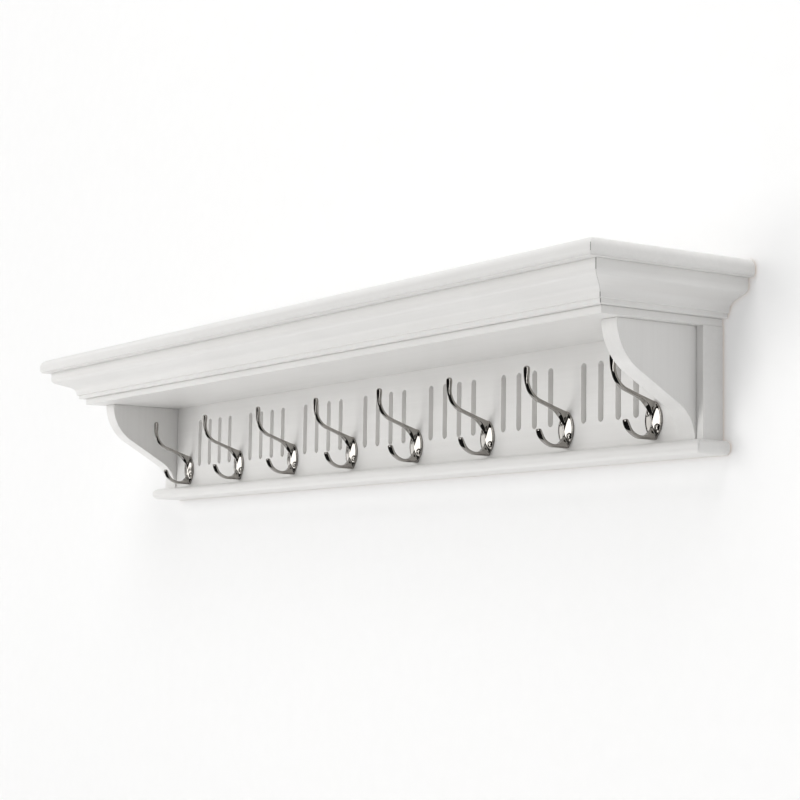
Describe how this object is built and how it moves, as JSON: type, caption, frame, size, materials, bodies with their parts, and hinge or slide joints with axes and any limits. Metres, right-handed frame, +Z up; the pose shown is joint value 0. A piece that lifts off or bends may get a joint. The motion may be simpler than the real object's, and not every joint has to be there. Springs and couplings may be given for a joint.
{
  "type": "wall coat rack with shelf",
  "caption": "Wall shelf with crown moulding on scrolled corbels, over a slotted backboard with a row of double coat hooks and a round-nosed ledge.",
  "frame": {"origin": "on the wall face of the backboard, at the middle of its length and height", "axes": "+X along the rack to the right as seen from the room, +Y into the wall, +Z up"},
  "size_m": [1.3882, 0.2298, 0.2135],
  "materials": {
    "painted_wood": "white satin paint",
    "raw_pine": "planed, bare",
    "beech": "fluted dowel, bare",
    "polished_nickel": "polished nickel plate",
    "zinc_steel": "bright zinc plate"
  },
  "bodies": {
    "root": {"top_board": "painted_wood", "crown_front": "painted_wood", "crown_left": "painted_wood", "crown_right": "painted_wood", "soffit_board": "painted_wood", "backboard": "painted_wood", "corbel_left": "painted_wood", "corbel_right": "painted_wood", "bottom_ledge": "painted_wood", "hanging_cleat": "raw_pine", "rib_1": "raw_pine", "rib_2": "raw_pine", "rib_3": "raw_pine", "rib_4": "raw_pine", "rib_5": "raw_pine", "ledge_dowels": "beech", "top_dowels": "beech", "hook_1": "polished_nickel", "hook_2": "polished_nickel", "hook_3": "polished_nickel", "hook_4": "polished_nickel", "hook_5": "polished_nickel", "hook_6": "polished_nickel", "hook_7": "polished_nickel", "hook_8": "polished_nickel", "hook_screws": "polished_nickel", "case_screws": "zinc_steel", "corbel_screws": "zinc_steel", "keyhole_plate_left": "zinc_steel", "keyhole_plate_right": "zinc_steel", "keyhole_screws": "zinc_steel"}
  },
  "joints": []
}
